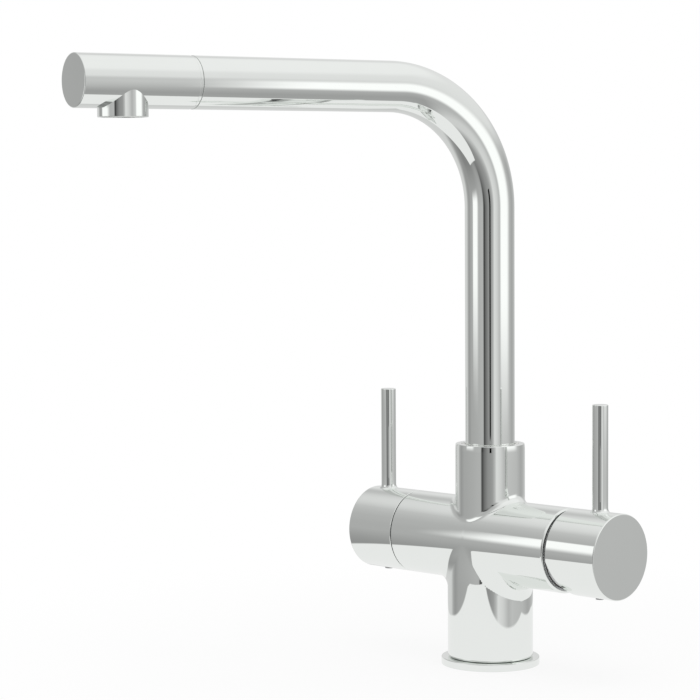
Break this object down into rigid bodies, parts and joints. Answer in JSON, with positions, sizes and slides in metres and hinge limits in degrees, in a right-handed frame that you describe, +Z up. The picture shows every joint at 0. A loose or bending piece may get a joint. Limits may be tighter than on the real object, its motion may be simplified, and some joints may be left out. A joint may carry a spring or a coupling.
{
  "type": "three way kitchen tap",
  "caption": "Tall chrome kitchen tap with a right-angled swivel spout, a side lever mixer and an opposite side lever valve for filtered water.",
  "frame": {"origin": "centre of the base flange's underside, on the worktop", "axes": "+Z up along the spout's riser, +X along the handle axis towards the mixer handle, -X towards the filtered water handle, -Y towards the sink; at rest the spout is swung 13 degrees from -Y towards -X"},
  "size_m": [0.175, 0.267, 0.3228],
  "materials": {
    "chrome": "polished",
    "brass": "machined",
    "steel": "machined",
    "rubber": "matt",
    "white_plastic": "matt",
    "grey_plastic": "satin",
    "ceramic": "lapped"
  },
  "bodies": {
    "tap_body": {"body_casting": "chrome", "base_flange": "chrome", "base_seal": "rubber", "spout_lock_screw": "steel", "slip_ring": "grey_plastic", "cartridge_port_seal": "rubber", "cartridge_base": "white_plastic", "mixer_fixed_disc": "ceramic", "cartridge_housing": "white_plastic", "cartridge_nut": "brass", "cartridge_cover": "chrome", "filter_valve_seal": "rubber", "filter_fixed_disc": "ceramic", "filter_valve_body": "brass"},
    "spout": {"spout_tube": "chrome", "swivel_stub": "brass", "lower_o_ring": "rubber", "upper_o_ring": "rubber", "filter_water_tube": "white_plastic", "filter_tube_ferrule": "brass", "head_adapter": "chrome", "head_o_ring": "rubber", "spout_head": "chrome", "outlet_collar": "chrome", "aerator_insert": "white_plastic", "filter_nozzle": "grey_plastic"},
    "turret": {"cartridge_turret": "grey_plastic", "stem_pivot_pin": "steel"},
    "disc_slider": {"disc_carrier": "white_plastic", "mixer_moving_disc": "ceramic"},
    "mixer_handle": {"cartridge_stem": "brass", "mixer_knob": "chrome", "mixer_lever": "chrome", "mixer_grub_screw": "steel", "mixer_screw_plug": "grey_plastic"},
    "filter_handle": {"filter_valve_spindle": "brass", "filter_moving_disc": "ceramic", "filter_knob": "chrome", "filter_lever": "chrome", "filter_grub_screw": "steel", "filter_screw_plug": "grey_plastic"}
  },
  "joints": [
    {"name": "spout_swivel", "type": "hinge", "parent": "tap_body", "child": "spout", "pos_m": [0, 0, 0.1], "axis": [0, 0, 1], "continuous": true},
    {"name": "mixer_temperature", "type": "hinge", "parent": "tap_body", "child": "turret", "pos_m": [0.048, 0, 0.06675], "axis": [1, 0, 0], "range_deg": [-50, 50]},
    {"name": "mixer_flow", "type": "hinge", "parent": "turret", "child": "mixer_handle", "pos_m": [0.048, 0, 0.06675], "axis": [0, 1, 0], "range_deg": [0, 20]},
    {"name": "disc_slide", "type": "slide", "parent": "turret", "child": "disc_slider", "axis": [0, 0, 1], "range_m": [0, 0.0043]},
    {"name": "filter_turn", "type": "hinge", "parent": "tap_body", "child": "filter_handle", "pos_m": [-0.053, 0, 0.06675], "axis": [1, 0, 0], "range_deg": [0, 90]}
  ],
  "couplings": [
    {"joint": "disc_slide", "follows": "mixer_flow", "m_per_rad": 0.012101}
  ]
}
